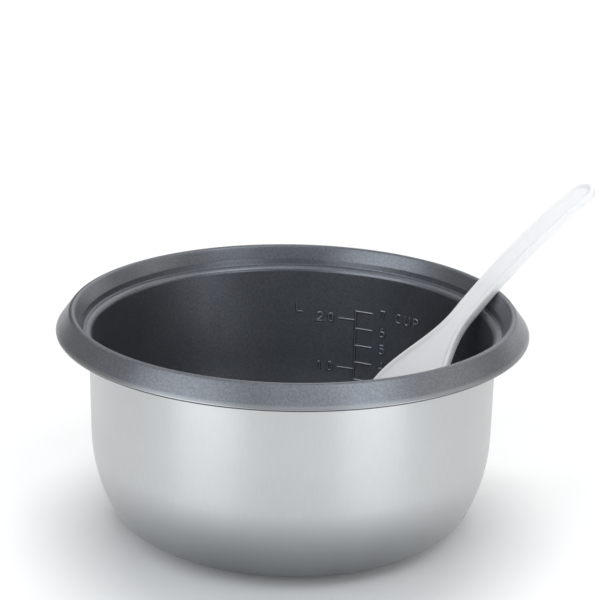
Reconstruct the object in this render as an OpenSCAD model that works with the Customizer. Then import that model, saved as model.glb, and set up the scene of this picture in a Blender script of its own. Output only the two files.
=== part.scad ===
// Inner cooking pot of a rice cooker, with its rice paddle and its measuring cup.
// Millimetres, +Z up. The origin is the centre of the pot's flat base, on its underside.
// +Y is the side of the pot that carries the level marks, and +X is to their right.

/* [Pot] */
// Height from the flat base to the crest of the rim
pot_h = 112; // [104:0.5:124]
// Outside diameter of the straight wall
body_d = 205.8; // [204:0.2:207]
// Thickness of the drawn metal sheet
sheet = 1.5; // [1:0.05:1.6]
// Thickness of the non-stick coating
coat = 0.25; // [0.15:0.05:0.3]
// Outside radius of the long curve between the wall and the corner
side_r = 84.8; // [75:0.1:95]
// Outside radius of the tight corner
corner_r = 10.4; // [7:0.1:14]
// Outside radius of the shallow dish around the flat base
dish_r = 100; // [90:1:115]

/* [Rim] */
// Outside diameter of the turned-down flange
flange_d = 238; // [236:0.5:246]
// Diameter of the rim's crest
crest_d = 222; // [221:0.5:226]
// Radius of the bend at the crest, on the coated face
crest_bend = 2; // [1.95:0.05:2.4]
// Slope of the flange below the horizontal, in degrees
flange_slope = 53; // [48:1:58]
// Length of the sloping band below the crest, along its slope
band_l = 6.6; // [5.5:0.1:7.5]
// Slope of that band, in degrees
band_slope = 62; // [58:1:66]
// Length of the steep step below the band
step_l = 2.6; // [1.5:0.1:3.2]

/* [Level marks] */
// How far the marks stand proud of the coating
mark_proud = 0.45; // [0.3:0.05:0.7]
// Width of a mark's line
mark_w = 0.95; // [0.7:0.05:1.2]
// Height of the digits and letters
digit_h = 5.6; // [4.5:0.1:6.5]
// Number of cup levels
cup_levels = 7; // [3:1:7]
// Height of the first cup level above the base
cup_level_1 = 14.85; // [14:0.05:18]
// Rise from one cup level to the next
cup_step = 10.4; // [8:0.1:10.5]
// Height of the one litre level above the base
litre_1 = 41.85; // [38:0.05:45]
// Rise for each further litre
litre_step = 30.1; // [26:0.1:32]

/* [Rice paddle] */
// Length of the paddle along its curve, blade and handle together
paddle_l = 219; // [212:1:224]
// Greatest width of the blade
blade_w = 60; // [52:1:64]
// Width of the handle at its neck
neck_w = 15.6; // [13:0.1:18]
// Width of the handle at its end
handle_w = 16.4; // [13:0.1:19]
// Thickness of the handle
handle_t = 4.3; // [3.5:0.1:5]
// Thickness of the blade at its tip
tip_t = 2; // [1.5:0.1:2.5]
// Depth of the channel in the handle's upper face
channel_depth = 1.1; // [0.6:0.1:1.5]
// Radius that the whole paddle is bowed to
paddle_bow = 420; // [400:5:460]
// Lean of the handle above the horizontal where it crosses the rim, in degrees
paddle_lean = 43.8; // [43:0.1:45]
// Direction that the handle points in, anticlockwise from +X seen from above, in degrees
paddle_turn = 24.6; // [20:0.1:28]
// Place on the rim where the handle rests, anticlockwise from +X, in degrees
paddle_rim_at = 17.2; // [14:0.1:22]

/* [Measuring cup] */
// Outside diameter of the cup's lip
cup_d = 73; // [68:0.5:75]
// Height of the cup
cup_h = 61; // [55:0.5:64]
// Outside diameter at the top of the bottom curve
cup_foot_d = 60; // [56:0.5:62]
// Thickness of the cup's wall
cup_wall = 1.3; // [1:0.1:1.6]
// Outside radius of the curve at the bottom
cup_round = 13; // [10:0.5:15]
// Centre of the cup from the pot's axis, to the right
cup_x = -30; // [-31:0.5:-26]
// Centre of the cup from the pot's axis, away from the level marks
cup_y = -18; // [-19:0.5:-10]

/* [Hidden] */
$fn = 96;

gap = 0.3;                  // between pieces that lift away from each other
wall_t = sheet + coat;      // metal and coating together
side_sweep = 25.9;          // turn of the long side curve, in degrees
dish_sweep = 19.6;          // turn of the dish around the flat base, in degrees
ledge_bend_max = 3;         // rounding of the ledge above the wall, where there is room for it
groove_bend = 0.6;          // fillet at the foot of the steep step
band_bend = 1.5;            // rounding between the band and the steep step
step_slope = 82;            // slope of the steep step, in degrees

body_r = body_d / 2;
wall_in = body_r - wall_t;
hollow_side = 90;           // the coated face lies this far anticlockwise of the way up the profile

function polar(r, a) = r * [cos(a), sin(a)];
function arc(c, r, a0, a1, n) = [for (i = [0:n]) c + polar(r, a0 + (a1 - a0) * i / n)];
function flip(path) = [for (i = [len(path) - 1:-1:0]) path[i]];
function along(path) = [for (i = [1:len(path) - 1]) path[i] - path[i - 1]];

// The bowl's profile is three tangent arcs, fixed by where each centre lies.
dish_end = -90 + dish_sweep;
side_c = [body_r - side_r,
          dish_r + (dish_r - corner_r) * sin(dish_end) + (side_r - corner_r) * sin(side_sweep)];
corner_c = side_c + polar(side_r - corner_r, -side_sweep);
base_r = corner_c[0] - (dish_r - corner_r) * cos(dish_end);
dish_c = [base_r, dish_r];

// The rim's profile is followed down from the crest.
crest_c = [crest_d / 2, pot_h - crest_bend];
band_top = crest_c + polar(crest_bend, band_slope + hollow_side);
band_foot = band_top - polar(band_l, band_slope);
band_c = band_foot - polar(band_bend, band_slope + hollow_side);
step_foot = band_c + polar(band_bend, step_slope + hollow_side) - polar(step_l, step_slope);
groove_c = step_foot + polar(groove_bend, step_slope + hollow_side);
ledge_z = groove_c[1] - groove_bend;
ledge_bend = min(ledge_bend_max, groove_c[0] - wall_in);
ledge_c = [wall_in + ledge_bend, ledge_z - ledge_bend];

// The flange runs straight down to a rounded edge.
flange_face = 90 - flange_slope;
edge_r = wall_t / 2;
coat_end = 0;               // the coating stops halfway round the edge, and the rest of it is bare
flange_top = crest_c + polar(crest_bend, flange_face);
edge_c_r = flange_d / 2 - edge_r;
flange_run = edge_c_r + edge_r * cos(flange_face) - flange_top[0];
edge_c = [edge_c_r, flange_top[1] - flange_run * tan(flange_slope) - edge_r * sin(flange_face)];

// The bowl's side and wall, moved d from the coated face into the metal, up to height top.
function side_skin(d, top) =
    concat(arc(side_c, side_r - wall_t + d, -side_sweep, 0, 12), [[wall_in + d, top]]);

// The whole bowl from the axis to the wall, moved d into the metal.
function bowl_skin(d, top) =
    concat([[0, wall_t - d]],
           arc(dish_c, dish_r - wall_t + d, -90, dish_end, 8),
           arc(corner_c, corner_r - wall_t + d, dish_end, -side_sweep, 8),
           side_skin(d, top));

// The whole coated face from the axis to the flange's edge, moved d into the metal.
function coated_skin(d) =
    concat(bowl_skin(d, ledge_c[1]),
           arc(ledge_c, ledge_bend - d, 180, 90, 6),
           arc(groove_c, groove_bend + d, -90, step_slope - 90, 5),
           arc(band_c, band_bend - d, step_slope + hollow_side, band_slope + hollow_side, 3),
           arc(crest_c, crest_bend - d, band_slope + hollow_side, flange_face, 12),
           arc(edge_c, edge_r - d, flange_face, coat_end, 4));

// The bare metal face, from the axis to the flange's edge.
function bare_skin() =
    concat(bowl_skin(wall_t, ledge_c[1]),
           arc(ledge_c, ledge_bend - wall_t, 180, 90, 5),
           arc(groove_c, groove_bend + wall_t, -90, step_slope - 90, 5),
           [band_c],
           arc(crest_c, crest_bend - wall_t, band_slope + hollow_side, flange_face, 3),
           arc(edge_c, edge_r, -flange_slope - 90, coat_end, 7));

module pot_shell() {
    color("silver")
        rotate_extrude()
            polygon(concat(bare_skin(), flip(coated_skin(coat))));
}

module nonstick_coating() {
    color([0.24, 0.25, 0.27])
        rotate_extrude()
            polygon(concat(coated_skin(coat), flip(coated_skin(0))));
}

// Level marks: raised strokes that follow the coated wall.
mark_top = cup_level_1 + (cup_levels - 1) * cup_step;
band_low = side_c[1] - (side_r - wall_t) * sin(side_sweep);
reach = 45;                 // how far inward the marks' straight sides are carried
spine_at = 20.9;            // places around the wall, clockwise from +Y, in degrees
spine_over = 0.3;           // how far the spine runs past its top and bottom ticks
cup_tick_at = [spine_at + asin(mark_w / 4 / wall_in), 27];  // these ticks start inside the spine
litre_tick_at = [15, spine_at - asin((mark_w / 2 + 0.05) / wall_in)];  // and these a hair beside it
cup_digit_at = 30.4;
cup_word_at = [36.2, 39.7, 43.1];
litre_digit_at = [8.9, 10.6, 12.5];
litre_word_at = 2;
litre_word_drop = 3;        // from the top level down to the foot of the letter L

module mark_layer() {
    rotate_extrude()
        polygon(concat(side_skin(0, mark_top + 2 * digit_h),
                       flip(side_skin(-mark_proud, mark_top + 2 * digit_h))));
}

// Points a flat drawing, in millimetres, at the wall: its x runs clockwise around the pot.
module on_wall(at, z) {
    rotate([0, 0, -at])
        translate([0, wall_in + 1, z])
            rotate([90, 0, 0])
                linear_extrude(height = reach)
                    children();
}

module tick(from_to, z) {
    length = wall_in * (from_to[1] - from_to[0]) * PI / 180;
    on_wall((from_to[0] + from_to[1]) / 2, z)
        square([length, mark_w], center = true);
}

// A stroke of even width along a path, with mitred corners.
function unit(v) = v / norm(v);
function left_of(v) = [-v[1], v[0]];
function mitre(a, b) = let (m = unit(left_of(a) + left_of(b))) m / (m * left_of(b));
function stroke_side(path, w) =
    let (steps = [for (v = along(path)) unit(v)], last = len(path) - 1)
    [for (i = [0:last])
        path[i] + w * (i == 0 ? left_of(steps[0])
                     : i == last ? left_of(steps[last - 1])
                     : mitre(steps[i - 1], steps[i]))];
module stroke(path) {
    polygon(concat(stroke_side(path, mark_w / 2), flip(stroke_side(path, -mark_w / 2))));
}

// An upright oval ring or part of one, as a path.
function oval(c, rx, ry, a0, a1, n) =
    [for (i = [0:n]) let (a = a0 + (a1 - a0) * i / n) c + [rx * cos(a), ry * sin(a)]];
module oval_ring(c, rx, ry) {
    grow = mark_w / 2;
    difference() {
        polygon(oval(c, rx + grow, ry + grow, 0, 345, 23));
        polygon(oval(c, rx - grow, ry - grow, 0, 345, 23));
    }
}

// Plain figures and letters, centred on x, standing on y = 0. h is their height.
module figure_1(h) { stroke([[-0.2, 0.76] * h, [0.06, 0.97] * h, [0.06, 0] * h]); }
module figure_2(h) {
    stroke(concat(oval([0, 0.7] * h, 0.27 * h, 0.28 * h, 165, -30, 9),
                  [[-0.3, 0.06] * h, [0.3, 0.06] * h]));
}
module figure_3(h) {
    stroke(oval([0, 0.73] * h, 0.23 * h, 0.24 * h, 160, -80, 10));
    stroke(oval([0, 0.27] * h, 0.27 * h, 0.25 * h, 80, -160, 10));
}
module figure_4(h) {
    stroke([[0.1, 1] * h, [-0.32, 0.3] * h, [0.36, 0.3] * h]);
    stroke([[0.13, 1] * h, [0.13, 0] * h]);
}
module figure_5(h) {
    stroke(concat([[0.27, 0.96] * h, [-0.2, 0.96] * h],
                  oval([0, 0.32] * h, 0.28 * h, 0.29 * h, 132, -150, 10)));
}
module figure_6(h) {
    oval_ring([0, 0.3] * h, 0.27 * h, 0.27 * h);
    stroke(oval([0.2, 0.36] * h, 0.46 * h, 0.62 * h, 172, 104, 6));
}
module figure_7(h) { stroke([[-0.28, 0.94] * h, [0.27, 0.94] * h, [-0.1, 0] * h]); }
module figure_0(h) { oval_ring([0, 0.5] * h, 0.24 * h, 0.44 * h); }
module point(h) { translate([0, 0.07 * h]) square(mark_w, center = true); }
module letter_C(h) { stroke(oval([0.04, 0.5] * h, 0.32 * h, 0.44 * h, 48, 312, 14)); }
module letter_U(h) {
    stroke(concat([[-0.27, 1] * h], oval([0, 0.34] * h, 0.27 * h, 0.28 * h, 180, 360, 8),
                  [[0.27, 1] * h]));
}
module letter_P(h) {
    stroke([[-0.26, 0] * h, [-0.26, 1] * h]);
    stroke(concat([[-0.26, 0.94] * h], oval([0.02, 0.7] * h, 0.24 * h, 0.24 * h, 90, -90, 8),
                  [[-0.26, 0.46] * h]));
}
module letter_L(h) { stroke([[-0.26, 1] * h, [-0.26, 0.07] * h, [0.32, 0.07] * h]); }

module cup_figure(n, h) {
    if (n == 1) figure_1(h);
    if (n == 2) figure_2(h);
    if (n == 3) figure_3(h);
    if (n == 4) figure_4(h);
    if (n == 5) figure_5(h);
    if (n == 6) figure_6(h);
    if (n == 7) figure_7(h);
}

// The spine, a tick and a figure for each cup level, and the word beside the top one.
module cup_scale() {
    spine_h = mark_top - cup_level_1 + mark_w + 2 * spine_over;
    color([0.3, 0.31, 0.33])
        intersection() {
            mark_layer();
            union() {
                on_wall(spine_at, (cup_level_1 + mark_top) / 2)
                    square([mark_w, spine_h], center = true);
                for (n = [1:cup_levels]) {
                    z = cup_level_1 + (n - 1) * cup_step;
                    tick(cup_tick_at, z);
                    on_wall(cup_digit_at, z - digit_h / 2)
                        cup_figure(n, digit_h);
                }
                on_wall(cup_word_at[0], mark_top - digit_h / 2) letter_C(digit_h);
                on_wall(cup_word_at[1], mark_top - digit_h / 2) letter_U(digit_h);
                on_wall(cup_word_at[2], mark_top - digit_h / 2) letter_P(digit_h);
            }
        }
}

// A tick and its figures for each litre, and the letter L.
module litre_scale() {
    color([0.3, 0.31, 0.33])
        intersection() {
            mark_layer();
            union() {
                for (n = [1:2]) {
                    z = litre_1 + (n - 1) * litre_step;
                    tick(litre_tick_at, z);
                    on_wall(litre_digit_at[0], z - digit_h / 2) cup_figure(n, digit_h);
                    on_wall(litre_digit_at[1], z - digit_h / 2) point(digit_h);
                    on_wall(litre_digit_at[2], z - digit_h / 2) figure_0(digit_h);
                }
                on_wall(litre_word_at, mark_top - litre_word_drop) letter_L(digit_h);
            }
        }
}

// The paddle lies along its own x axis, handle end at +x, upper face at z = 0 where it
// crosses the rim. It is bowed down at both ends, and its thickness falls along the blade.
// Its underside clears the rim's rounding by the gap, across the handle's whole width, and
// the blade's tip stands the same gap above the floor, which fixes how far along it the tip is.
off_radial = abs(paddle_turn - paddle_rim_at);
handle_half_angle = asin(neck_w / crest_d);
rest_rise = gap + crest_bend * (1 - cos(paddle_lean))
    + crest_d / 2 * sin(paddle_lean) * (cos(off_radial) - cos(off_radial + handle_half_angle));
bow_centre_z = pot_h + (rest_rise + handle_t - paddle_bow) * cos(paddle_lean);
tip_lean = acos((wall_t + gap - bow_centre_z) / (paddle_bow - tip_t));
tip_at = (paddle_lean - tip_lean) * paddle_bow * PI / 180;
end_at = tip_at + paddle_l;
flare_at = [-23.4, -81.5];  // where the handle starts to widen and the blade is full
tip_round = 32;             // length of the rounding at the blade's tip
tip_power = 2.5;            // how square that rounding is
steps = 44;

function ease(t) = t <= 0 ? 0 : t >= 1 ? 1 : t * t * (3 - 2 * t);
function share(s, from, to) = min(1, max(0, (s - from) / (to - from)));
function bowed(s, drop) = [paddle_bow * sin(s / paddle_bow * 180 / PI), 0]
    + [0, paddle_bow * (cos(s / paddle_bow * 180 / PI) - 1)]
    - drop * [sin(s / paddle_bow * 180 / PI), cos(s / paddle_bow * 180 / PI)];
function paddle_t(s) = handle_t + (tip_t - handle_t) * share(s, flare_at[0], tip_at);
function full_half_w(s) =
    (neck_w + (handle_w - neck_w) * share(s, 0, end_at)) / 2
    + (blade_w - neck_w) / 2 * ease(share(s, flare_at[0], flare_at[1]));
function tip_share(s) = share(s, tip_at + tip_round, tip_at);
function end_share(s) = share(s, end_at - handle_w / 2, end_at);
function half_w(s) = full_half_w(s) * pow(1 - pow(tip_share(s), tip_power), 1 / tip_power)
    * sqrt(1 - pow(end_share(s), 2));

function stations(from, to, n) = [for (i = [0:n]) from + (to - from) * i / n];
function plan_x(s) = bowed(s, 0)[0];
// Stations close up towards the rounded ends.
paddle_s = [for (t = stations(-90, 90, steps)) (tip_at + end_at) / 2 + paddle_l / 2 * sin(t)];

module paddle_outline() {
    inner = [for (i = [1:steps - 1]) paddle_s[i]];
    polygon(concat([[plan_x(tip_at), 0]],
                   [for (s = inner) [plan_x(s), -half_w(s)]],
                   [[plan_x(end_at), 0]],
                   [for (s = flip(inner)) [plan_x(s), half_w(s)]]));
}

module paddle_side() {
    polygon(concat([for (s = paddle_s) bowed(s, 0)],
                   [for (s = flip(paddle_s)) bowed(s, paddle_t(s))]));
}

// The channel along the handle's upper face leaves a raised border on both sides.
channel_s = [-18, end_at - 7];
border_w = 2.6;
module channel_outline() {
    for (x = channel_s)
        translate([plan_x(x), 0])
            circle(d = neck_w - 2 * border_w, $fn = 48);
    translate([plan_x(channel_s[0]), border_w - neck_w / 2])
        square([plan_x(channel_s[1]) - plan_x(channel_s[0]), neck_w - 2 * border_w]);
}
module channel_side() {
    s_list = stations(channel_s[0] - neck_w, channel_s[1] + neck_w, 16);
    polygon(concat([for (s = s_list) bowed(s, -1)],
                   [for (s = flip(s_list)) bowed(s, channel_depth)]));
}

module bowed_solid(width) {
    rotate([90, 0, 0])
        linear_extrude(height = width, center = true)
            children();
}

module rice_paddle() {
    color("white")
        translate([polar(crest_d / 2, paddle_rim_at)[0], polar(crest_d / 2, paddle_rim_at)[1], pot_h])
            rotate([0, -paddle_lean, paddle_turn])
                translate([0, 0, rest_rise + handle_t])
                    difference() {
                        intersection() {
                            bowed_solid(blade_w + 2) paddle_side();
                            translate([0, 0, -paddle_l / 2])
                                linear_extrude(height = paddle_l) paddle_outline();
                        }
                        intersection() {
                            bowed_solid(neck_w) channel_side();
                            translate([0, 0, -paddle_l / 2])
                                linear_extrude(height = paddle_l) channel_outline();
                        }
                    }
}

// The measuring cup: a tapered wall, a rounded bottom and a rolled lip.
cup_r = cup_d / 2;
lip_r = 1.3;
lip_c = [cup_r - lip_r, cup_h - lip_r];
cup_wall_top = lip_c + [cup_wall / 2, 0];
cup_bottom_c = [cup_foot_d / 2 - cup_round, cup_round];
// The outside wall is the tangent from its top to the bottom curve.
cup_rise = cup_wall_top - cup_bottom_c;
cup_taper = acos(cup_round / norm(cup_rise)) - atan2(cup_rise[1], cup_rise[0]);

module cup_profile() {
    polygon(concat([[0, 0]],
                   arc(cup_bottom_c, cup_round, -90, -cup_taper, 12),
                   [cup_wall_top, cup_wall_top - [cup_wall / cos(cup_taper), 0]],
                   flip(arc(cup_bottom_c, cup_round - cup_wall, -90, -cup_taper, 12)),
                   [[0, cup_wall]]));
    translate(lip_c)
        circle(r = lip_r, $fn = 32);
}

module place_cup() {
    translate([cup_x, cup_y, wall_t + gap])
        children();
}

module measuring_cup() {
    color([0.9, 0.92, 0.94, 0.5])
        place_cup()
            rotate_extrude()
                cup_profile();
}

// Raised fill lines on the cup's outside: short ones for a third and two thirds, a long full one.
graduation_z = [22, 36.5, 50];
graduation_turn = [20, 20, 34];
graduation_h = 1;
graduation_proud = 0.35;
graduation_facing = 225;    // anticlockwise from +X
fine = 360;                 // these lines are too thin for the usual division of a circle
module cup_graduations() {
    color([0.86, 0.88, 0.9, 0.6])
        place_cup()
            difference() {
                for (i = [0:len(graduation_z) - 1]) {
                    r = cup_wall_top[0] - (cup_wall_top[1] - graduation_z[i]) * tan(cup_taper);
                    rotate([0, 0, graduation_facing - graduation_turn[i] / 2])
                        rotate_extrude(angle = graduation_turn[i], $fn = fine)
                            translate([r - cup_wall / 2, graduation_z[i]])
                                square([cup_wall / 2 + graduation_proud, graduation_h]);
                }
                rotate_extrude($fn = fine)
                    cup_profile();
            }
}

pot_shell();
nonstick_coating();
cup_scale();
litre_scale();
rice_paddle();
measuring_cup();
cup_graduations();
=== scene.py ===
"""Looks of a rice cooker's inner pot, with its rice paddle and its measuring cup.

Everything is in metres in the frame's own axes: +Z up, the pot stands on z = 0, and the
wall that carries the level marks is at +Y. Overall sizes come from the frame's boxes, and
the radii, slopes and places below are those of the real pieces. Angles are in degrees.
"""

import math

import bmesh
import bpy
import numpy as np
from mathutils import Matrix, Vector


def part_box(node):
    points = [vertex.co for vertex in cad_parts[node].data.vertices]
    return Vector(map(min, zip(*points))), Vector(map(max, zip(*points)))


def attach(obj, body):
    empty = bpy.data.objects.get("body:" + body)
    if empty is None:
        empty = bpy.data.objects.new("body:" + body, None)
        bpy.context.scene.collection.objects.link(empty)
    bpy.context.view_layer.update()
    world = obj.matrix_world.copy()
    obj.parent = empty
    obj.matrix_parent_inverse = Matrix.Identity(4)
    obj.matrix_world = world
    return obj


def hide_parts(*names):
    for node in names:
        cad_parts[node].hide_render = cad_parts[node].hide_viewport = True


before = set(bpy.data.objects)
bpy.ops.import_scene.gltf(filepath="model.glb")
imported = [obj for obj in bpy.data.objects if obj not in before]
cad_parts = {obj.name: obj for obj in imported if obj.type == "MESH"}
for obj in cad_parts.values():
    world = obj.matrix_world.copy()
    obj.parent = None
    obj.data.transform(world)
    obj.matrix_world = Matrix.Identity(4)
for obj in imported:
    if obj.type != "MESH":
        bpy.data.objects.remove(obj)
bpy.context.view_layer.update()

MM = 0.001

# ---------------------------------------------------------------- sizes

flange_low, flange_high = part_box("nonstick_coating")
POT_H = flange_high.z
FLANGE_R = flange_high.x
SHEET = flange_low.z                 # the coating's underside stands on the metal's top
COAT = 0.25 * MM
WALL_T = SHEET + COAT
BODY_R = 102.9 * MM
WALL_IN = BODY_R - WALL_T

SIDE_R, SIDE_SWEEP = 84.8 * MM, 25.9
CORNER_R = 10.4 * MM
DISH_R, DISH_SWEEP = 100 * MM, 19.6
CREST_R, CREST_BEND = 111 * MM, 2 * MM
FLANGE_SLOPE = 53
BAND_L, BAND_SLOPE, BAND_BEND = 6.6 * MM, 62, 1.5 * MM
STEP_L, STEP_SLOPE = 2.6 * MM, 82
GROOVE_BEND, LEDGE_BEND = 0.6 * MM, 3.0 * MM
EDGE_R = WALL_T / 2
FLANGE_FACE = 90 - FLANGE_SLOPE
COAT_END = 0                         # the coating stops halfway round the edge, the rest is bare

ARC_STEP, ARC_LEAST = 4, 3           # degrees between points on a rounding, and its fewest steps
LINE_STEP = 3 * MM                   # distance between points on a straight stretch
SAME_POINT = 1e-8                    # points nearer than this are one point of a path
WELD = 1e-7                          # and corners of a mesh nearer than this are one corner
COLUMNS, CUP_COLUMNS = 288, 192      # around the pot, and around the cup
CREASE, PADDLE_CREASE, MARK_CREASE = 35, 60, 80     # sharper edges than these are drawn sharp


def polar(r, angle):
    """A step of length r, at an angle from the first axis towards the second."""
    a = math.radians(angle)
    return np.array([r * math.cos(a), r * math.sin(a)])


def arc(centre, r, a0, a1):
    """Points on a rounding of radius r, from angle a0 to angle a1."""
    by_angle = math.ceil(abs(a1 - a0) / ARC_STEP)
    by_length = math.ceil(abs(math.radians(a1 - a0) * r) / LINE_STEP)
    n = max(ARC_LEAST, by_angle, by_length)
    return [centre + polar(r, a0 + (a1 - a0) * i / n) for i in range(n + 1)]


def joined(*parts):
    """One path through the parts, with long straight stretches divided."""
    path = []
    for part in parts:
        for p in part:
            p = np.array(p, float)
            if path:
                gap = np.linalg.norm(p - path[-1])
                if gap < SAME_POINT:
                    continue
                n = math.ceil(gap / LINE_STEP)
                last = path[-1]
                path += [last + (p - last) * i / n for i in range(1, n)]
            path.append(p)
    return path


# ---------------------------------------------------------------- the pot's profile

DISH_END = -90 + DISH_SWEEP
SIDE_C = np.array([
    BODY_R - SIDE_R,
    DISH_R + (DISH_R - CORNER_R) * math.sin(math.radians(DISH_END))
    + (SIDE_R - CORNER_R) * math.sin(math.radians(SIDE_SWEEP)),
])
CORNER_C = SIDE_C + polar(SIDE_R - CORNER_R, -SIDE_SWEEP)
DISH_C = np.array([CORNER_C[0] - (DISH_R - CORNER_R) * math.cos(math.radians(DISH_END)), DISH_R])

CREST_C = np.array([CREST_R, POT_H - CREST_BEND])
BAND_TOP = CREST_C + polar(CREST_BEND, BAND_SLOPE + 90)
BAND_FOOT = BAND_TOP - polar(BAND_L, BAND_SLOPE)
BAND_C = BAND_FOOT - polar(BAND_BEND, BAND_SLOPE + 90)
STEP_FOOT = BAND_C + polar(BAND_BEND, STEP_SLOPE + 90) - polar(STEP_L, STEP_SLOPE)
GROOVE_C = STEP_FOOT + polar(GROOVE_BEND, STEP_SLOPE + 90)
LEDGE_Z = GROOVE_C[1] - GROOVE_BEND
LEDGE_C = np.array([WALL_IN + LEDGE_BEND, LEDGE_Z - LEDGE_BEND])

FLANGE_TOP = CREST_C + polar(CREST_BEND, FLANGE_FACE)
EDGE_X = FLANGE_R - EDGE_R
FLANGE_RUN = EDGE_X + polar(EDGE_R, FLANGE_FACE)[0] - FLANGE_TOP[0]
FLANGE_DROP = FLANGE_RUN * math.tan(math.radians(FLANGE_SLOPE))
EDGE_C = np.array([EDGE_X, FLANGE_TOP[1] - FLANGE_DROP - polar(EDGE_R, FLANGE_FACE)[1]])


def bowl_skin(d, top):
    """The bowl from the axis up to height top, moved d from the coated face into the metal."""
    return joined(
        [(0, WALL_T - d)],
        arc(DISH_C, DISH_R - WALL_T + d, -90, DISH_END),
        arc(CORNER_C, CORNER_R - WALL_T + d, DISH_END, -SIDE_SWEEP),
        arc(SIDE_C, SIDE_R - WALL_T + d, -SIDE_SWEEP, 0),
        [(WALL_IN + d, top)],
    )


def coated_skin(d):
    """The whole coated face from the axis to the flange's edge, moved d into the metal."""
    return joined(
        bowl_skin(d, LEDGE_C[1]),
        arc(LEDGE_C, LEDGE_BEND - d, 180, 90),
        arc(GROOVE_C, GROOVE_BEND + d, -90, STEP_SLOPE - 90),
        arc(BAND_C, BAND_BEND - d, STEP_SLOPE + 90, BAND_SLOPE + 90),
        arc(CREST_C, CREST_BEND - d, BAND_SLOPE + 90, FLANGE_FACE),
        arc(EDGE_C, EDGE_R - d, FLANGE_FACE, COAT_END),
    )


def bare_skin():
    """The bare metal face, from the axis to the flange's edge."""
    return joined(
        bowl_skin(WALL_T, LEDGE_C[1]),
        arc(LEDGE_C, LEDGE_BEND - WALL_T, 180, 90),
        arc(GROOVE_C, GROOVE_BEND + WALL_T, -90, STEP_SLOPE - 90),
        [BAND_C],
        [CREST_C],
        arc(EDGE_C, EDGE_R, -FLANGE_SLOPE - 90, COAT_END),
    )


# ---------------------------------------------------------------- mesh helpers

def make_object(name, verts, faces, crease=CREASE):
    """A smooth-shaded object of the mesh, with its normals turned outwards."""
    mesh = bpy.data.meshes.new(name)
    mesh.from_pydata([tuple(v) for v in verts], [], faces)
    bm = bmesh.new()
    bm.from_mesh(mesh)
    bmesh.ops.remove_doubles(bm, verts=bm.verts, dist=WELD)
    bmesh.ops.recalc_face_normals(bm, faces=bm.faces)
    bm.to_mesh(mesh)
    bm.free()
    mesh.shade_smooth()
    mesh.set_sharp_from_angle(angle=math.radians(crease))
    piece = bpy.data.objects.new(name, mesh)
    bpy.context.scene.collection.objects.link(piece)
    return piece


def lathe(name, outline, centre=(0, 0, 0), columns=COLUMNS):
    """A closed body of revolution, from an outline of (radius, height) that starts and ends on the axis."""
    verts, rows = [], []
    for r, z in outline:
        count = 1 if r < WELD else columns
        rows.append(range(len(verts), len(verts) + count))
        for k in range(count):
            a = 2 * math.pi * k / columns
            verts.append((centre[0] + r * math.cos(a), centre[1] + r * math.sin(a), centre[2] + z))
    faces = []
    for a, b in zip(rows, rows[1:] + rows[:1]):
        for k in range(columns):
            m = (k + 1) % columns
            if len(a) > 1 and len(b) > 1:
                faces.append((a[k], a[m], b[m], b[k]))
            elif len(a) > 1:
                faces.append((a[k], a[m], b[0]))
            elif len(b) > 1:
                faces.append((a[0], b[m], b[k]))
    return make_object(name, verts, faces)


def sweep(faces, start, rows, k, ring=False):
    """Joins rows of k points into a tube, whose two ends are closed unless it is a ring."""
    for i in range(rows if ring else rows - 1):
        a, b = start + i * k, start + (i + 1) % rows * k
        for j in range(k):
            m = (j + 1) % k
            faces.append((a + j, a + m, b + m, b + j))
    if not ring:
        last = start + (rows - 1) * k
        faces.append(tuple(range(start, start + k)))
        faces.append(tuple(range(last, last + k)))


def smooth(t):
    """Eases from 0 to 1."""
    t = np.clip(t, 0, 1)
    return t * t * (3 - 2 * t)


def share(s, start, end):
    """How far s has come on its way from start to end, from 0 to 1."""
    return np.clip((s - start) / (end - start), 0, 1)


# ---------------------------------------------------------------- level marks

MARK_PROUD = 0.45 * MM
MARK_W = 0.95 * MM
MARK_SINK = 0.1 * MM                 # how deep a stroke's foot reaches into the coating
DIGIT_H = 5.6 * MM
CUP_LEVELS, CUP_LEVEL_1, CUP_STEP = 7, 14.85 * MM, 10.4 * MM
LITRE_LEVELS, LITRE_1, LITRE_STEP = 2, 41.85 * MM, 30.1 * MM
MARK_TOP = CUP_LEVEL_1 + (CUP_LEVELS - 1) * CUP_STEP
SPINE_AT = 20.9                      # places around the wall, clockwise from +Y, in degrees
SPINE_OVER = 0.3 * MM                # how far the spine runs past the first and the last tick
CUP_TICK_AT = (20.9, 27)
LITRE_TICK_AT = (15, 20.6)
CUP_DIGIT_AT = 30.4
CUP_WORD_AT = (36.2, 39.7, 43.1)
LITRE_DIGIT_AT = (8.9, 10.6, 12.5)
LITRE_WORD_AT, LITRE_WORD_DROP = 2, 3 * MM
STROKE_STEP, STROKE_LEAST = 0.2 * MM, 4     # between rows of points along a stroke, and its fewest
STROKE_END = 0.12                    # its first row counts as this far in, in half widths
OVAL_STEPS = 24

# A stroke's section: offset from its middle and height, as shares of MARK_W and MARK_PROUD.
SECTION = [(-0.9, 0), (-0.72, 0.05), (-0.58, 0.18), (-0.44, 0.6), (-0.26, 0.92), (0, 1.0),
           (0.26, 0.92), (0.44, 0.6), (0.58, 0.18), (0.72, 0.05), (0.9, 0)]
FOOT_AT = SECTION[-1][0]


def wall_point(at, z, height):
    """A point on the coated wall, at degrees clockwise from +Y, and height towards the axis."""
    below = SIDE_C[1] - z
    r = SIDE_R - WALL_T
    if below <= 0:
        normal = np.array([-1.0, 0.0])
        spot = np.array([WALL_IN, z])
    else:
        rise = math.asin(below / r)
        normal = np.array([-math.cos(rise), math.sin(rise)])
        spot = SIDE_C - normal * r
    spot = spot + normal * height
    a = math.radians(at)
    return spot[0] * math.sin(a), spot[0] * math.cos(a), spot[1]


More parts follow.
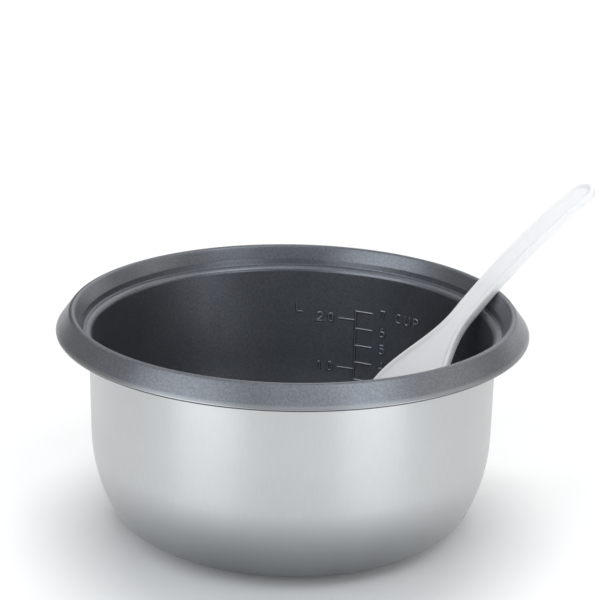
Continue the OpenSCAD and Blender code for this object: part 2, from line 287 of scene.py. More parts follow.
def oval(cx, cz, rx, rz, a0, a1):
    """Points on an oval about (cx, cz), from angle a0 to angle a1."""
    turns = [math.radians(a0 + (a1 - a0) * i / OVAL_STEPS) for i in range(OVAL_STEPS + 1)]
    return [(cx + rx * math.cos(a), cz + rz * math.sin(a)) for a in turns]


# Strokes of each figure, x from its middle and z from its foot, in shares of its height.
FIGURES = {
    "0": [oval(0, 0.5, 0.24, 0.44, 0, 360)],
    "1": [[(-0.2, 0.76), (0.06, 0.97), (0.06, 0)]],
    "2": [oval(0, 0.7, 0.27, 0.28, 165, -30) + [(-0.3, 0.06), (0.3, 0.06)]],
    "3": [oval(0, 0.73, 0.23, 0.24, 160, -80), oval(0, 0.27, 0.27, 0.25, 80, -160)],
    "4": [[(0.1, 1), (-0.32, 0.3), (0.36, 0.3)], [(0.13, 1), (0.13, 0)]],
    "5": [[(0.27, 0.96), (-0.2, 0.96)] + oval(0, 0.32, 0.28, 0.29, 132, -150)],
    "6": [oval(0, 0.3, 0.27, 0.27, 0, 360), oval(0.2, 0.36, 0.46, 0.62, 172, 104)],
    "7": [[(-0.28, 0.94), (0.27, 0.94), (-0.1, 0)]],
    ".": [[(0, -0.02), (0, 0.16)]],
    "C": [oval(0.04, 0.5, 0.32, 0.44, 48, 312)],
    "U": [[(-0.27, 1)] + oval(0, 0.34, 0.27, 0.28, 180, 360) + [(0.27, 1)]],
    "P": [[(-0.26, 0), (-0.26, 1)],
          [(-0.26, 0.94)] + oval(0.02, 0.7, 0.24, 0.24, 90, -90) + [(-0.26, 0.46)]],
    "L": [[(-0.26, 1), (-0.26, 0.07), (0.32, 0.07)]],
}


def resampled(path):
    """The path in equal steps, and each point's distance along it."""
    p = np.array(path, float)
    lengths = np.r_[0, np.cumsum(np.linalg.norm(np.diff(p, axis=0), axis=1))]
    n = max(STROKE_LEAST, math.ceil(lengths[-1] / STROKE_STEP))
    s = np.linspace(0, lengths[-1], n + 1)
    return np.c_[np.interp(s, lengths, p[:, 0]), np.interp(s, lengths, p[:, 1])], s


def stroke(verts, faces, at, foot, path):
    """A raised stroke along path, in metres from the mark's middle and foot, laid on the wall.

    A closed path gives a ring. Otherwise its corners are softened and its two ends are rounded.
    """
    points, s = resampled(path)
    ring = np.allclose(points[0], points[-1])
    if not ring:
        inner = (points[:-2] + 2 * points[1:-1] + points[2:]) / 4
        points = np.vstack([points[:1], inner, points[-1:]])
    tangent = np.gradient(points, axis=0)
    if ring:
        tangent[0] = tangent[-1] = points[1] - points[-2]
    tangent /= np.linalg.norm(tangent, axis=1)[:, None]
    across = np.c_[-tangent[:, 1], tangent[:, 0]]
    end = MARK_W / 2
    start = len(verts)
    section = SECTION + [(FOOT_AT, -MARK_SINK / MARK_PROUD), (-FOOT_AT, -MARK_SINK / MARK_PROUD)]
    rows = len(points) - 1 if ring else len(points)
    for i in range(rows):
        near = min(s[i], s[-1] - s[i]) + end * STROKE_END
        swell = 1.0 if ring or near >= end else math.sqrt(1 - (1 - near / end) ** 2)
        for offset, height in section:
            q = points[i] + across[i] * offset * MARK_W * swell
            h = height * MARK_PROUD * (swell if height > 0 else 1)
            verts.append(wall_point(at + math.degrees(q[0] / WALL_IN), foot + q[1], h))
    sweep(faces, start, rows, len(section), ring)


def figure(verts, faces, mark, at, foot):
    """A figure or letter, with its middle at degrees around the wall and its foot at a height."""
    for path in FIGURES[mark]:
        stroke(verts, faces, at, foot, np.array(path) * DIGIT_H)


def tick(verts, faces, span, z):
    """A level line at height z, between two places around the wall."""
    half = math.radians(span[1] - span[0]) / 2 * WALL_IN
    stroke(verts, faces, sum(span) / 2, z, [(-half, 0), (half, 0)])


def make_cup_scale():
    verts, faces = [], []
    over = MARK_W / 2 + SPINE_OVER
    stroke(verts, faces, SPINE_AT, 0, [(0, CUP_LEVEL_1 - over), (0, MARK_TOP + over)])
    for n in range(CUP_LEVELS):
        z = CUP_LEVEL_1 + n * CUP_STEP
        tick(verts, faces, CUP_TICK_AT, z)
        figure(verts, faces, str(n + 1), CUP_DIGIT_AT, z - DIGIT_H / 2)
    for letter, at in zip("CUP", CUP_WORD_AT):
        figure(verts, faces, letter, at, MARK_TOP - DIGIT_H / 2)
    return make_object("cup_level_marks", verts, faces, MARK_CREASE)


def make_litre_scale():
    verts, faces = [], []
    for n in range(LITRE_LEVELS):
        z = LITRE_1 + n * LITRE_STEP
        tick(verts, faces, LITRE_TICK_AT, z)
        for mark, at in zip((str(n + 1), ".", "0"), LITRE_DIGIT_AT):
            figure(verts, faces, mark, at, z - DIGIT_H / 2)
    figure(verts, faces, "L", LITRE_WORD_AT, MARK_TOP - LITRE_WORD_DROP)
    return make_object("litre_level_marks", verts, faces, MARK_CREASE)


# ---------------------------------------------------------------- rice paddle

PADDLE_L = 219 * MM
BLADE_W, NECK_W, HANDLE_W = 60 * MM, 15.6 * MM, 16.4 * MM
HANDLE_T, TIP_T = 4.3 * MM, 2 * MM
BOW = 420 * MM                       # radius that the paddle is bowed to
LEAN = 43.8                          # how steeply it rises where it crosses the rim
RIM_AT, TURN = 17.2, 24.6            # where it crosses the rim, and its heading, from +X towards +Y
GAP = 0.3 * MM                       # air between the paddle and the pot
FLARE_AT = (-23.4 * MM, -81.5 * MM)  # where the handle starts to widen and the blade is full
TIP_ROUND, TIP_POWER = 32 * MM, 2.5
CHANNEL_DEPTH, DISH_DEPTH = 1.25 * MM, 0.75 * MM
CHANNEL_END = FLARE_AT[0] + 12 * MM  # where the handle's channel starts to pass into the blade's dish
BORDER = (1.2 * MM, 4.2 * MM)        # the raised border falls away over these distances from the edge
TOP_EDGE, LOW_EDGE = 1.0 * MM, 0.8 * MM
PADDLE_ROWS, PADDLE_COLUMNS = 120, 12

# Rings of points on the face and on the underside, in millimetres in from the outline.
TOP_RINGS = (0, 0.08, 0.25, 0.5, 0.75, 1.0, 1.3, 1.6, 1.9, 2.2, 2.5, 2.8, 3.1, 3.5, 3.9, 4.3)
LOW_RINGS = (0, 0.08, 0.25, 0.5, 0.8, 1.4, 2.4, 3.5)

# How high the paddle lies above the crest's top, so that its neck clears the curved crest all across.
off_radial = math.radians(abs(TURN - RIM_AT))
half_angle = math.asin(NECK_W / 2 / CREST_R)
crest_bulge = CREST_R * (math.cos(off_radial) - math.cos(off_radial + half_angle))
REST_RISE = (GAP + CREST_BEND * (1 - math.cos(math.radians(LEAN)))
             + crest_bulge * math.sin(math.radians(LEAN)))
bow_centre_z = POT_H + (REST_RISE + HANDLE_T - BOW) * math.cos(math.radians(LEAN))
tip_lean = math.degrees(math.acos((WALL_T + GAP - bow_centre_z) / (BOW - TIP_T)))
TIP_AT = math.radians(LEAN - tip_lean) * BOW
END_AT = TIP_AT + PADDLE_L


def paddle_half_w(s):
    """Half the paddle's width at s, measured along it from where it rests on the rim."""
    full = (NECK_W + (HANDLE_W - NECK_W) * share(s, 0, END_AT)) / 2 \
        + (BLADE_W - NECK_W) / 2 * smooth(share(s, *FLARE_AT))
    tip = share(s, TIP_AT + TIP_ROUND, TIP_AT)
    end = share(s, END_AT - HANDLE_W / 2, END_AT)
    return full * (1 - tip ** TIP_POWER) ** (1 / TIP_POWER) * np.sqrt(1 - end ** 2)


def paddle_thickness(s):
    """The paddle's thickness at s, full in the handle and least at the blade's tip."""
    return HANDLE_T + (TIP_T - HANDLE_T) * share(s, FLARE_AT[0], TIP_AT)


def paddle_matrix():
    """Lays the paddle on the rim, from a frame with +X along it and +Z out of its face."""
    rim = polar(CREST_R, RIM_AT)
    turned = Matrix.Rotation(math.radians(TURN), 4, "Z")
    leaning = Matrix.Rotation(math.radians(-LEAN), 4, "Y")
    raised = Matrix.Translation((0, 0, REST_RISE + HANDLE_T))
    return Matrix.Translation((rim[0], rim[1], POT_H)) @ turned @ leaning @ raised


def bowed(s, y, h):
    """A point s along the paddle, y across it and h above its face."""
    a = s / BOW
    return (BOW + h) * math.sin(a), y, (BOW + h) * math.cos(a) - BOW


def make_paddle():
    """Rings step in from the outline, over the rounded edge and the raised border, to the face."""
    turn = np.linspace(-math.pi / 2, math.pi / 2, PADDLE_ROWS + 1)
    s_rows = (TIP_AT + END_AT) / 2 + PADDLE_L / 2 * np.sin(turn)
    right = np.c_[s_rows, -paddle_half_w(s_rows)]
    left = np.c_[s_rows, paddle_half_w(s_rows)][::-1]
    outline = np.vstack([right, left[1:-1]])
    count = len(outline)
    forward = np.roll(outline, -1, axis=0) - np.roll(outline, 1, axis=0)
    forward /= np.linalg.norm(forward, axis=1)[:, None]
    inward = np.c_[-forward[:, 1], forward[:, 0]]

    def depth(s):
        blade = smooth(share(s, CHANNEL_END, FLARE_AT[1]))
        return CHANNEL_DEPTH + (DISH_DEPTH - CHANNEL_DEPTH) * blade

    def rounded(d, r):
        """How far an edge rounded to r has fallen, at d in from the outline."""
        return 0.0 if d >= r else r - math.sqrt(r * r - (r - d) ** 2)

    verts, faces, rings = [], [], []
    matrix = paddle_matrix()

    def add(s, y, h):
        verts.append(tuple(matrix @ Vector(bowed(s, y, h))))
        return len(verts) - 1

    def add_ring(d, height):
        p = outline + inward * d
        rings.append([add(p[i, 0], p[i, 1], height(p[i, 0])) for i in range(count)])
        return p

    def cover(p, ring, height, columns):
        """Closes the middle: row i joins the ring's point i with its mirror point."""
        grid = []
        for i in range(PADDLE_ROWS + 1):
            j = (count - i) % count
            if i in (0, PADDLE_ROWS):
                grid.append([ring[i]] * (columns + 1))
                continue
            row = [ring[i]]
            for k in range(1, columns):
                q = p[i] + (p[j] - p[i]) * k / columns
                row.append(add(q[0], q[1], height(q[0])))
            grid.append(row + [ring[j]])
        for a, b in zip(grid, grid[1:]):
            for k in range(columns):
                face = []
                for v in (a[k], a[k + 1], b[k + 1], b[k]):
                    if v not in face:
                        face.append(v)
                if len(face) > 2:
                    faces.append(tuple(face))

    for d in reversed(LOW_RINGS):
        d *= MM
        points = add_ring(d, lambda s, d=d: -paddle_thickness(s) + rounded(d, LOW_EDGE))
        if len(rings) == 1:
            cover(points, rings[0], lambda s: -paddle_thickness(s), PADDLE_COLUMNS)
    for d in TOP_RINGS:
        d *= MM
        sunk = float(smooth(share(d, *BORDER)))
        points = add_ring(d, lambda s, d=d, sunk=sunk: -rounded(d, TOP_EDGE) - sunk * depth(s))
    cover(points, rings[-1], lambda s: -depth(s), PADDLE_COLUMNS)
    for a, b in zip(rings, rings[1:]):
        for i in range(count):
            m = (i + 1) % count
            faces.append((a[i], a[m], b[m], b[i]))
    return make_object("paddle", verts, faces, PADDLE_CREASE)


# ---------------------------------------------------------------- measuring cup

cup_low, cup_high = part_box("measuring_cup")
CUP_C = ((cup_low.x + cup_high.x) / 2, (cup_low.y + cup_high.y) / 2, cup_low.z)
CUP_R = (cup_high.x - cup_low.x) / 2
CUP_H = cup_high.z - cup_low.z
CUP_FOOT_R, CUP_WALL, CUP_ROUND, LIP_R = 30 * MM, 1.3 * MM, 13 * MM, 1.3 * MM
LIP_FROM, LIP_TO = -52, 205          # where the rolled lip leaves the outside and where it comes back in
LIP_INNER_DROP = 0.6 * MM            # how much lower the inside takes over from the lip than the outside
LIP_C = np.array([CUP_R - LIP_R, CUP_H - LIP_R])
CUP_TOP = LIP_C + np.array([CUP_WALL / 2, 0])
CUP_BOTTOM_C = np.array([CUP_FOOT_R - CUP_ROUND, CUP_ROUND])
cup_rise = CUP_TOP - CUP_BOTTOM_C
lean_to_top = math.atan2(cup_rise[1], cup_rise[0])
CUP_TAPER = math.degrees(math.acos(CUP_ROUND / np.linalg.norm(cup_rise)) - lean_to_top)


def make_cup():
    across = CUP_WALL / math.cos(math.radians(CUP_TAPER))
    under = CUP_TOP - np.array([math.tan(math.radians(CUP_TAPER)), 1]) * LIP_R
    outline = joined(
        [(0, 0)],
        arc(CUP_BOTTOM_C, CUP_ROUND, -90, -CUP_TAPER),
        [under],
        arc(LIP_C, LIP_R, LIP_FROM, LIP_TO),
        [under - np.array([across, LIP_INNER_DROP])],
        arc(CUP_BOTTOM_C, CUP_ROUND - CUP_WALL, -CUP_TAPER, -90),
        [(0, CUP_WALL)],
    )
    return lathe("cup", outline, CUP_C, CUP_COLUMNS)


GRADUATION_Z = (22 * MM, 36.5 * MM, 50 * MM)        # the foot of each fill line
GRADUATION_TURN = (20, 20, 34)       # and how far it runs around the cup
GRADUATION_H, GRADUATION_PROUD, GRADUATION_FACING = 1 * MM, 0.35 * MM, 225
GRADUATION_STEPS = 2                 # rows of points per degree
GRADUATION_END = 0.15                # a line's first row counts as this far in, in degrees

# A fill line's section: height from its middle and distance out, as shares of its size.
GRADUATION_SECTION = ((-0.6, -0.3), (-0.6, 0), (-0.42, 0.55), (-0.2, 0.95),
                      (0.2, 0.95), (0.42, 0.55), (0.6, 0), (0.6, -0.3))


def make_graduations():
    """Raised fill lines on the cup's outside, with rounded ends."""
    verts, faces = [], []
    for z, turn in zip(GRADUATION_Z, GRADUATION_TURN):
        steps = turn * GRADUATION_STEPS
        start = len(verts)
        for i in range(steps + 1):
            a = math.radians(GRADUATION_FACING - turn / 2 + turn * i / steps)
            near = min(i, steps - i) / GRADUATION_STEPS + GRADUATION_END
            swell = math.sqrt(1 - (1 - min(near, 1)) ** 2)
            for dz, out in GRADUATION_SECTION:
                h = z + GRADUATION_H / 2 + dz * GRADUATION_H * swell
                r = CUP_TOP[0] - (CUP_TOP[1] - h) * math.tan(math.radians(CUP_TAPER))
                r += out * GRADUATION_PROUD * (swell if out > 0 else 1)
                verts.append((CUP_C[0] + r * math.cos(a), CUP_C[1] + r * math.sin(a), CUP_C[2] + h))
        sweep(faces, start, steps + 1, len(GRADUATION_SECTION))
    return make_object("cup_fill_lines", verts, faces, MARK_CREASE)


# ---------------------------------------------------------------- materials

NOISE_ROUGHNESS = 0.55
NOISE_SPAN = (0.3, 0.7)              # nearly all of a noise pattern's values lie between these
GRAIN_SPAN = (0.35, 0.65)            # and most of them between these
SMUDGE_SPAN = (0.3, 0.75)            # this one leaves a smudge's roughness a little short of its most
MIX_AMOUNT, MIX_A, MIX_B, MIX_RESULT = 0, 6, 7, 2   # the numbers of a colour mix's sockets

UNSHADED_METAL = (0.51, 0.52, 0.523), (0.545, 0.555, 0.56)
# Painted shade: the darker colour the body is given towards its base, in place of the dark floor it
# reflects there
SHADED_METAL = (0.165, 0.172, 0.175), (0.195, 0.203, 0.206)
STREAK, STREAK_SHARE = (0.3, 0.31, 0.32), 0.1       # a streak's colour, and how much of it shows at most
# painted shade under the flange, for the shadowed underside below its lip
FLANGE_SHADE = (0.1, 0.102, 0.106)
METAL_ROUGH, LINES_ROUGH = (0.33, 0.38), (-0.02, 0.03)
SHADE_HEIGHTS = (4 * MM, 44 * MM)     # painted shade is full below the first and gone above the second
SHADE_TURN = (0.5, 0.97)              # none below the first and full above the second, as the sine of the
                                     # angle from the pot's sides
FLANGE_SHADE_RADII = (BODY_R + 6 * MM, BODY_R + 8 * MM)    # under the flange, painted shade starts and is full here
BRUSHING, BRUSHING_ROUND = 2600, 3   # brushing per metre across its lines, and per radian along them
STREAKS_ROUND, STREAKS_UP = 220, 130  # streaks per radian, and their changes per metre of height

COATING = (0.262, 0.275, 0.306)
COATING_PALE, COATING_DARK, COATING_FLECK = 1.12, 0.55, 1.9    # how bright each is beside the coating
COATING_ROUGH = (0.31, 0.38)
GRAIN_SHARE = 0.45                   # how much of the dark grain shows at most
FLECK_SIZE = 0.32                    # a fleck's radius, as a share of its cell
# painted highlight on the marks' crests and painted shade at their feet
MARK_CREST_HIGHLIGHT, MARK_FOOT_SHADE = (0.42, 0.435, 0.47), (0.05, 0.052, 0.058)
CREST_HIGHLIGHT_SPAN = (0.55 * MARK_PROUD, 0.95 * MARK_PROUD)            # the painted highlight along the crest comes in over these
FOOT_SHADE_SPAN = (0.05 * MARK_PROUD, 0.4 * MARK_PROUD)              # and the painted shade at the foot goes out over these
EDGE_TONE, EDGE_TONE_SHARE = (0.42, 0.43, 0.45), 0.8
EDGE_TONE_RADII = (FLANGE_R - 1.3 * MM, FLANGE_R - 0.5 * MM)     # the coat's lighter edge starts and is full here
FLECK_PICK = 0.62                    # flecks whose own random shade is above this are bright

WHITE_PLASTIC, WHITE_ROUGH = ((0.87, 0.875, 0.885), (0.895, 0.9, 0.91)), (0.30, 0.40)
CLEAR_PLASTIC, CLEAR_ROUGH = ((0.90, 0.93, 0.93), (0.95, 0.97, 0.97)), (0.10, 0.18)
PALE_FLOOR = (0.93, 0.93, 0.93), (0.95, 0.95, 0.95)


class Nodes:
    """A material's node tree, built with short calls."""

    def __init__(self, name):
        self.material = bpy.data.materials.new(name)
        self.material.use_nodes = True
        self.tree = self.material.node_tree
        self.tree.nodes.clear()
        self.shader = self.add("ShaderNodeBsdfPrincipled")
        out = self.add("ShaderNodeOutputMaterial")
        self.link(self.shader.outputs[0], out.inputs["Surface"])
        self.place = self.add("ShaderNodeTexCoord").outputs["Object"]

    def add(self, kind, **settings):
        node = self.tree.nodes.new(kind)
        for key, value in settings.items():
            setattr(node, key, value)
        return node

    def link(self, a, b):
        self.tree.links.new(a, b)

    def put(self, socket, value):
        """Links an input to another node's output, or sets it to a plain value."""
        if isinstance(value, bpy.types.NodeSocket):
            self.link(value, socket)
        else:
            socket.default_value = value

    def feed(self, node, **inputs):
        """Puts a value in each named input, with _ for each space in its name."""
        for key, value in inputs.items():
            self.put(node.inputs[key.replace("_", " ")], value)

    def noise(self, scale, detail, vector=None):
        """Soft noise with about scale changes per metre, or per unit of a vector of the caller's own."""
        node = self.add("ShaderNodeTexNoise")
        self.feed(node, Vector=vector or self.place, Scale=scale, Detail=detail, Roughness=NOISE_ROUGHNESS)
        return node.outputs["Fac"]

    def flecks(self, scale):
        """Small cells, about scale of them per metre."""
        node = self.add("ShaderNodeTexVoronoi")
        self.feed(node, Vector=self.place, Scale=scale)
        return node

    def remap(self, value, a, b, low, high):
        """Maps a to low and b to high, and keeps what lies beyond at the ends."""
        node = self.add("ShaderNodeMapRange")
        self.feed(node, Value=value)
        for key, number in zip(("From Min", "From Max", "To Min", "To Max"), (a, b, low, high)):
            node.inputs[key].default_value = number
        return node.outputs[0]

    def maths(self, operation, a, b=0.0):
        """One step of arithmetic. An operation on a single number leaves b out."""
        node = self.add("ShaderNodeMath", operation=operation)
        for socket, value in zip(node.inputs, (a, b)):
            self.put(socket, value)
        return node.outputs[0]

    def times(self, a, b):
        return self.maths("MULTIPLY", a, b)

    def length(self, a, b):
        """The diagonal over two sides that stand at a right angle."""
        return self.maths("SQRT", self.maths("ADD", self.times(a, a), self.times(b, b)))

    def mix(self, amount, a, b):
        """Colour a where the amount is 0, and colour b where it is 1."""
        node = self.add("ShaderNodeMix", data_type="RGBA")
        self.put(node.inputs[MIX_AMOUNT], amount)
        for number, colour in ((MIX_A, a), (MIX_B, b)):
            self.put(node.inputs[number], (*colour, 1) if isinstance(colour, tuple) else colour)
        return node.outputs[MIX_RESULT]

    def mottle(self, pattern, a, b):
        """A colour that drifts between a and b with a noise pattern."""
        return self.mix(self.remap(pattern, *NOISE_SPAN, 0, 1), a, b)

    def bump(self, height, strength, distance):
        node = self.add("ShaderNodeBump")
        self.feed(node, Height=height, Strength=strength, Distance=distance)
        return node.outputs[0]

    def around_axis(self):
        """A point's distance from the pot's axis, its height, and its angle around the axis."""
        parts = self.add("ShaderNodeSeparateXYZ")
        self.link(self.place, parts.inputs[0])
        x, y, z = parts.outputs
        return self.length(x, y), z, self.maths("ARCTAN2", y, x)

    def above_wall(self):
        """How far a point stands above the pot's coated wall, towards the axis."""
        radius, z, _ = self.around_axis()
        across = self.maths("SUBTRACT", radius, float(SIDE_C[0]))
        below = self.maths("MINIMUM", self.maths("SUBTRACT", z, float(SIDE_C[1])), 0.0)
        return self.maths("SUBTRACT", SIDE_R - WALL_T, self.length(across, below))

    def vector(self, x, y, z):
        node = self.add("ShaderNodeCombineXYZ")
        for socket, value in zip(node.inputs, (x, y, z)):
            self.put(socket, value)
        return node.outputs[0]


def metal_material():
    """Satin aluminium, brushed around the pot, with faint upright streaks.

    Painted shade darkens it towards its base, least at the pot's two sides, and more painted shade darkens
    it under the flange.
    """
    n = Nodes("satin_aluminium")
    radius, z, angle = n.around_axis()
    brushed = n.vector(n.times(radius, BRUSHING), n.times(angle, BRUSHING_ROUND), n.times(z, BRUSHING))
    brushing = n.noise(scale=1.0, detail=2, vector=brushed)
    smudge = n.noise(scale=38, detail=4)
    upright = n.vector(n.times(angle, STREAKS_ROUND), n.times(z, STREAKS_UP), 0)
    streaks = n.noise(scale=1.0, detail=3, vector=upright)
    unshaded = n.mottle(n.noise(scale=9, detail=3), *UNSHADED_METAL)
    shaded = n.mottle(smudge, *SHADED_METAL)
    from_sides = n.remap(n.maths("ABSOLUTE", n.maths("SINE", angle)), *SHADE_TURN, 0, 1)
    # painted shade, darker towards the base and least at the pot's two sides
    painted_shade = n.times(n.remap(z, *SHADE_HEIGHTS, 1, 0), from_sides)
    colour = n.mix(painted_shade, unshaded, shaded)
    colour = n.mix(n.remap(streaks, *GRAIN_SPAN, STREAK_SHARE, 0), colour, STREAK)
    # painted shade under the flange
    colour = n.mix(n.remap(radius, *FLANGE_SHADE_RADII, 0, 1), colour, FLANGE_SHADE)
    handled = n.remap(smudge, *SMUDGE_SPAN, *METAL_ROUGH)
    rough = n.maths("ADD", handled, n.remap(brushing, *NOISE_SPAN, *LINES_ROUGH))
    tangent = n.add("ShaderNodeTangent", direction_type="RADIAL", axis="Z")
    n.feed(n.shader, Metallic=1.0, Base_Color=colour, Roughness=rough)
    n.feed(n.shader, Anisotropic=0.6, Tangent=tangent.outputs[0])
    n.feed(n.shader, Anisotropic_Rotation=0.25)      # a quarter turn: spread across the brushing
    n.feed(n.shader, Normal=n.bump(brushing, strength=0.08, distance=0.03 * MM))
    return n.material


def toned(brightness):
    """The coating's colour, made brighter or darker."""
    return tuple(c * brightness for c in COATING)


def coating_material(name, raised=False):
    """Dark grey non-stick coat: satin, with a fine metallic fleck, and lighter towards the flange's edge.

    On raised marks a painted highlight lightens the crest, and painted shade darkens the foot.
    """
    n = Nodes(name)
    fleck = n.flecks(scale=1700)
    sparkle = n.remap(fleck.outputs["Distance"], 0.0, FLECK_SIZE, 1, 0)
    picked = n.maths("GREATER_THAN", n.remap(fleck.outputs["Color"], 0, 1, 0, 1), FLECK_PICK)
    grain = n.noise(scale=1000, detail=2)
    shade = n.mottle(n.noise(scale=14, detail=3), COATING, toned(COATING_PALE))
    grained = n.mix(n.remap(grain, *GRAIN_SPAN, GRAIN_SHARE, 0), shade, toned(COATING_DARK))
    colour = n.mix(n.times(sparkle, picked), grained, toned(COATING_FLECK))
    radius, _, _ = n.around_axis()
    # the coat is lighter towards the flange's edge
    colour = n.mix(n.remap(radius, *EDGE_TONE_RADII, 0, EDGE_TONE_SHARE), colour, EDGE_TONE)
    if raised:
        # painted highlight along each mark's crest, painted shade at its foot
        proud = n.above_wall()
        crest_highlight = n.remap(proud, *CREST_HIGHLIGHT_SPAN, 0, 1)
        foot = n.remap(proud, *FOOT_SHADE_SPAN, 1, 0)
        colour = n.mix(foot, n.mix(crest_highlight, colour, MARK_CREST_HIGHLIGHT), MARK_FOOT_SHADE)
    n.feed(n.shader, Metallic=0.85, IOR=1.6, Base_Color=colour)
    n.feed(n.shader, Roughness=n.remap(n.noise(scale=60, detail=4), *SMUDGE_SPAN, *COATING_ROUGH))
    n.feed(n.shader, Normal=n.bump(grain, strength=0.3, distance=0.08 * MM))
    return n.material


def paddle_material():
    """White moulded plastic with a soft gloss and faint flow marks."""
    n = Nodes("white_plastic")
    n.feed(n.shader, Base_Color=n.mottle(n.noise(scale=16, detail=3), *WHITE_PLASTIC))
    n.feed(n.shader, Roughness=n.remap(n.noise(scale=70, detail=4), *NOISE_SPAN, *WHITE_ROUGH))
    n.feed(n.shader, Subsurface_Weight=0.7, Subsurface_Scale=3 * MM, Subsurface_Radius=(1.0, 0.97, 0.93))
    n.feed(n.shader, Normal=n.bump(n.noise(scale=240, detail=3), strength=0.12, distance=0.05 * MM))
    return n.material


def cup_material():
    """Clear moulded plastic, slightly milky."""
    n = Nodes("clear_plastic")
    n.feed(n.shader, Base_Color=n.mottle(n.noise(scale=30, detail=3), *CLEAR_PLASTIC))
    n.feed(n.shader, Roughness=n.remap(n.noise(scale=80, detail=3), *NOISE_SPAN, *CLEAR_ROUGH))
    n.feed(n.shader, Transmission_Weight=0.92, IOR=1.45)
    n.feed(n.shader, Normal=n.bump(n.noise(scale=120, detail=2), strength=0.1, distance=0.05 * MM))
    return n.material


def floor_material():
    """A pale, dull floor."""
    n = Nodes("pale_floor")
    n.feed(n.shader, Base_Color=n.mix(n.noise(scale=3, detail=2), *PALE_FLOOR), Roughness=0.85)
    return n.material


# ---------------------------------------------------------------- pieces

def place(piece, body, node, material):
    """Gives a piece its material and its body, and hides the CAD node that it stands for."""
    piece.data.materials.append(material)
    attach(piece, body)
    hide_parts(node)


coating = coating_material("nonstick_coat")
place(lathe("pot_metal_shell", bare_skin() + coated_skin(COAT)[::-1]),
      "pot", "pot_shell", metal_material())
place(lathe("pot_coating", coated_skin(COAT) + coated_skin(0)[::-1]),
      "pot", "nonstick_coating", coating)
marks = coating_material("nonstick_coat_marks", raised=True)
place(make_cup_scale(), "pot", "cup_scale", marks)
place(make_litre_scale(), "pot", "litre_scale", marks)
place(make_paddle(), "paddle", "rice_paddle", paddle_material())
clear = cup_material()
place(make_cup(), "cup", "measuring_cup", clear)
place(make_graduations(), "cup", "cup_graduations", clear)


# ---------------------------------------------------------------- stage, light and camera

FLOOR_R, FLOOR_SEGMENTS = 12.0, 96
FLOOR_DROP = 0.2 * MM                # the floor lies this far under the base, so that they don't flicker
WORLD_LIGHT = 0.06
WHITE, WARM, COOL = (1, 1, 1), (1.0, 0.955, 0.88), (0.93, 0.97, 1.0)

# Far lights: azimuth, elevation, width, strength and colour. Azimuth 0 is on the camera's side and 90 on
# its right. The first two light the floor and the paddle, and leave no hard line on the metal.
SOFTBOXES = (
    ("key", 180, 70, 40, 1.7, WHITE),
    ("front_fill", 20, 15, 60, 0.4, WHITE),
    ("overhead", 185, 64, 90, 0.7, WHITE),
    ("left_front", 303, 34, 46, 0.62, COOL),
    ("right_front", 50, 54, 26, 0.38, COOL),
    ("front", 0, 57, 26, 0.14, COOL),
    ("right_side", 90, 38, 30, 0.15, WARM),
    ("right_low", 112, 8, 60, 0.2, WARM),
    ("back_low", 157, 15, 60, 0.4, WHITE),
    ("left_low", 248, 8, 60, 0.12, WARM),
)
NOT_REFLECTED = ("key", "front_fill")

# Low lights close to the pot, for the soft bright bands on the body's front: azimuth and power.
BOUNCE_CARDS = (("left_card", -40, 0.48), ("right_card", 40, 0.48), ("middle_card", 0, 0.08))
CARD_DISTANCE, CARD_SIZE = 0.5, (0.3, 0.3)
CARD_AIM_Z = POT_H / 3


def make_floor():
    """A round floor that runs far beyond the view."""
    mesh = bpy.data.meshes.new("floor")
    bm = bmesh.new()
    bmesh.ops.create_circle(bm, cap_ends=True, radius=FLOOR_R, segments=FLOOR_SEGMENTS)
    bm.to_mesh(mesh)
    bm.free()
    floor = bpy.data.objects.new("floor", mesh)
    floor.location.z = -FLOOR_DROP
    floor.data.materials.append(floor_material())
    bpy.context.scene.collection.objects.link(floor)


def softbox(name, azimuth, elevation, width, strength, colour):
    """A far light, width degrees across."""
    light = bpy.data.lights.new(name, "SUN")
    light.angle = math.radians(width)
    light.energy = strength
    light.color = colour
    a, e = math.radians(azimuth), math.radians(elevation)
    towards = Vector((math.sin(a) * math.cos(e), -math.cos(a) * math.cos(e), math.sin(e)))
    lamp = bpy.data.objects.new(name, light)
    lamp.rotation_euler = (-towards).to_track_quat("-Z", "Y").to_euler()
    lamp.visible_glossy = name not in NOT_REFLECTED
    bpy.context.scene.collection.objects.link(lamp)


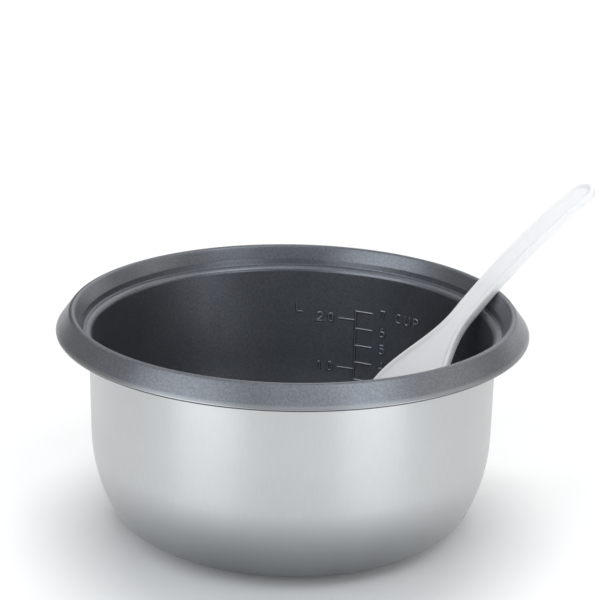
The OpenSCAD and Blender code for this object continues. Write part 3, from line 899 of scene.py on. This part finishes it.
def bounce_card(name, azimuth, power):
    """A small cool light that stands on the floor and faces the pot, unseen by the camera."""
    light = bpy.data.lights.new(name, "AREA")
    light.shape = "RECTANGLE"
    light.size, light.size_y = CARD_SIZE
    light.energy = power
    light.color = COOL
    a = math.radians(azimuth)
    lamp = bpy.data.objects.new(name, light)
    lamp.location = CARD_DISTANCE * Vector((math.sin(a), -math.cos(a), 0))
    lamp.location.z = CARD_SIZE[1] / 2
    lamp.rotation_euler = (Vector((0, 0, CARD_AIM_Z)) - lamp.location).to_track_quat("-Z", "Y").to_euler()
    lamp.visible_camera = False
    bpy.context.scene.collection.objects.link(lamp)


def make_world():
    """A faint even light from all around."""
    world = bpy.data.worlds.new("studio")
    world.use_nodes = True
    background = world.node_tree.nodes["Background"]
    background.inputs["Color"].default_value = (1, 1, 1, 1)
    background.inputs["Strength"].default_value = WORLD_LIGHT
    bpy.context.scene.world = world


CAMERA_DISTANCE = 0.725
CAMERA_ELEVATION = 18.06
CAMERA_ROLL = 1.1
LENS, SENSOR = 85.9, 36.0
NEAR_CLIP, FAR_CLIP = 0.01, 100
AIM_RIGHT, AIM_UP = 3.34 * MM, 1.92 * MM     # it aims a little right of and above the rim's middle


def make_camera():
    """The camera in front of the pot, looking down on it."""
    data = bpy.data.cameras.new("camera")
    data.lens, data.sensor_width = LENS, SENSOR
    data.clip_start, data.clip_end = NEAR_CLIP, FAR_CLIP
    camera = bpy.data.objects.new("camera", data)
    e = math.radians(CAMERA_ELEVATION)
    centre = Vector((0, 0, POT_H))
    camera.location = centre + CAMERA_DISTANCE * Vector((0, -math.cos(e), math.sin(e)))
    up = Vector((0, math.sin(e), math.cos(e)))
    aim = centre + AIM_RIGHT * Vector((1, 0, 0)) + AIM_UP * up
    look = (aim - camera.location).to_track_quat("-Z", "Y").to_matrix()
    roll = Matrix.Rotation(math.radians(CAMERA_ROLL), 3, "Z")
    camera.rotation_euler = (look @ roll).to_euler()
    bpy.context.scene.collection.objects.link(camera)
    bpy.context.scene.camera = camera


make_floor()
make_world()
for settings in SOFTBOXES:
    softbox(*settings)
for settings in BOUNCE_CARDS:
    bounce_card(*settings)
make_camera()
bpy.context.scene.view_settings.view_transform = "Standard"
